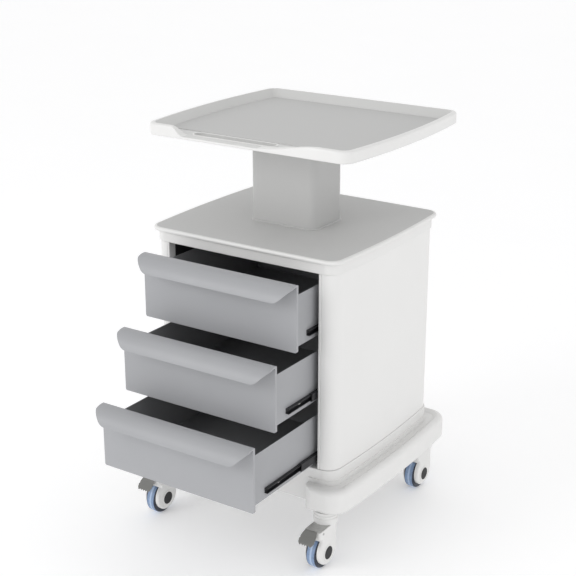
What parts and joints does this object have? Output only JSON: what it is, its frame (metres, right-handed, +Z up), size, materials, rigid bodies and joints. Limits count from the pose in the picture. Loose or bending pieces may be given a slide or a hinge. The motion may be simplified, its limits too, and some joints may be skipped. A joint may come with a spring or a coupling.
{
  "type": "crash cart",
  "caption": "Hospital cart: top tray on a column, worktop, cabinet of sliding drawers with rolled-lip fronts, and a moulded base on swivel casters.",
  "frame": {"origin": "on the floor, under the middle of the cabinet", "axes": "+Z up, the drawers face -Y, +X is the cart's right side"},
  "size_m": [0.556, 0.7676, 0.908],
  "materials": {
    "white_abs": "satin moulded ABS",
    "grey_inlay": "fine-grained matt sheet",
    "column_grey": "satin moulded ABS",
    "frame_steel": "matt black powder coat",
    "zinc_steel": "zinc plated",
    "slide_steel": "black oiled steel",
    "drawer_grey": "satin powder coat",
    "drawer_box_grey": "satin powder coat",
    "caster_white": "moulded nylon",
    "caster_cap": "fine-grained",
    "tread_blue": "translucent soft rubber",
    "wheel_core": "moulded nylon",
    "pedal_steel": "stamped, satin",
    "pedal_dark": "fine-grained"
  },
  "bodies": {
    "cart": {"tray_shell": "white_abs", "tray_mat": "grey_inlay", "tray_bracket": "frame_steel", "column_cover": "column_grey", "column_collar": "column_grey", "column_post": "frame_steel", "worktop": "white_abs", "worktop_mat": "grey_inlay", "top_board": "white_abs", "side_panel_left": "white_abs", "side_panel_right": "white_abs", "front_post_left": "white_abs", "front_post_right": "white_abs", "liner_left": "frame_steel", "liner_right": "frame_steel", "back_panel": "white_abs", "back_screws": "zinc_steel", "plinth": "white_abs", "base_shell": "white_abs", "base_frame": "frame_steel", "caster_stems": "zinc_steel", "outer_rails": "slide_steel"},
    "drawer_1": {"drawer_1_front": "drawer_grey", "drawer_1_box": "drawer_box_grey", "drawer_1_inner_rails": "slide_steel"},
    "slide_1": {"drawer_1_mid_rails": "slide_steel"},
    "drawer_2": {"drawer_2_front": "drawer_grey", "drawer_2_box": "drawer_box_grey", "drawer_2_inner_rails": "slide_steel"},
    "slide_2": {"drawer_2_mid_rails": "slide_steel"},
    "drawer_3": {"drawer_3_front": "drawer_grey", "drawer_3_box": "drawer_box_grey", "drawer_3_inner_rails": "slide_steel"},
    "slide_3": {"drawer_3_mid_rails": "slide_steel"},
    "caster_fl": {"caster_fl_housing": "caster_white", "caster_fl_caps": "caster_cap", "caster_fl_axle": "zinc_steel", "caster_fl_deck": "pedal_steel"},
    "wheel_fl": {"caster_fl_tyre": "tread_blue", "caster_fl_core": "wheel_core"},
    "pedal_fl": {"caster_fl_pedal_arm": "pedal_steel", "caster_fl_pedal_pad": "pedal_dark"},
    "caster_fr": {"caster_fr_housing": "caster_white", "caster_fr_caps": "caster_cap", "caster_fr_axle": "zinc_steel", "caster_fr_deck": "pedal_steel"},
    "wheel_fr": {"caster_fr_tyre": "tread_blue", "caster_fr_core": "wheel_core"},
    "pedal_fr": {"caster_fr_pedal_arm": "pedal_steel", "caster_fr_pedal_pad": "pedal_dark"},
    "caster_rl": {"caster_rl_housing": "caster_white", "caster_rl_caps": "caster_cap", "caster_rl_axle": "zinc_steel"},
    "wheel_rl": {"caster_rl_tyre": "tread_blue", "caster_rl_core": "wheel_core"},
    "caster_rr": {"caster_rr_housing": "caster_white", "caster_rr_caps": "caster_cap", "caster_rr_axle": "zinc_steel"},
    "wheel_rr": {"caster_rr_tyre": "tread_blue", "caster_rr_core": "wheel_core"}
  },
  "joints": [
    {"name": "drawer_1_slide", "type": "slide", "parent": "cart", "child": "drawer_1", "axis": [0, -1, 0], "range_m": [-0.075, 0.265]},
    {"name": "slide_1_travel", "type": "slide", "parent": "cart", "child": "slide_1", "axis": [0, -1, 0], "range_m": [-0.0375, 0.1325]},
    {"name": "drawer_2_slide", "type": "slide", "parent": "cart", "child": "drawer_2", "axis": [0, -1, 0], "range_m": [-0.1515, 0.1885]},
    {"name": "slide_2_travel", "type": "slide", "parent": "cart", "child": "slide_2", "axis": [0, -1, 0], "range_m": [-0.07575, 0.09425]},
    {"name": "drawer_3_slide", "type": "slide", "parent": "cart", "child": "drawer_3", "axis": [0, -1, 0], "range_m": [-0.229, 0.111]},
    {"name": "slide_3_travel", "type": "slide", "parent": "cart", "child": "slide_3", "axis": [0, -1, 0], "range_m": [-0.1145, 0.0555]},
    {"name": "swivel_fl", "type": "hinge", "parent": "cart", "child": "caster_fl", "pos_m": [-0.219, -0.222, 0.115], "axis": [0, 0, 1], "continuous": true},
    {"name": "roll_fl", "type": "hinge", "parent": "caster_fl", "child": "wheel_fl", "pos_m": [-0.219, -0.245, 0.0375], "axis": [1, 0, 0], "continuous": true},
    {"name": "pedal_fl", "type": "hinge", "parent": "caster_fl", "child": "pedal_fl", "pos_m": [-0.219, -0.265, 0.092], "axis": [1, 0, 0], "range_deg": [0, 12]},
    {"name": "swivel_fr", "type": "hinge", "parent": "cart", "child": "caster_fr", "pos_m": [0.219, -0.222, 0.115], "axis": [0, 0, 1], "continuous": true},
    {"name": "roll_fr", "type": "hinge", "parent": "caster_fr", "child": "wheel_fr", "pos_m": [0.219, -0.245, 0.0375], "axis": [1, 0, 0], "continuous": true},
    {"name": "pedal_fr", "type": "hinge", "parent": "caster_fr", "child": "pedal_fr", "pos_m": [0.219, -0.265, 0.092], "axis": [1, 0, 0], "range_deg": [0, 12]},
    {"name": "swivel_rl", "type": "hinge", "parent": "cart", "child": "caster_rl", "pos_m": [-0.219, 0.213, 0.115], "axis": [0, 0, 1], "continuous": true},
    {"name": "roll_rl", "type": "hinge", "parent": "caster_rl", "child": "wheel_rl", "pos_m": [-0.219, 0.19, 0.0375], "axis": [1, 0, 0], "continuous": true},
    {"name": "swivel_rr", "type": "hinge", "parent": "cart", "child": "caster_rr", "pos_m": [0.219, 0.213, 0.115], "axis": [0, 0, 1], "continuous": true},
    {"name": "roll_rr", "type": "hinge", "parent": "caster_rr", "child": "wheel_rr", "pos_m": [0.219, 0.19, 0.0375], "axis": [1, 0, 0], "continuous": true}
  ],
  "couplings": [
    {"joint": "slide_1_travel", "follows": "drawer_1_slide", "ratio": 0.5},
    {"joint": "slide_2_travel", "follows": "drawer_2_slide", "ratio": 0.5},
    {"joint": "slide_3_travel", "follows": "drawer_3_slide", "ratio": 0.5}
  ]
}
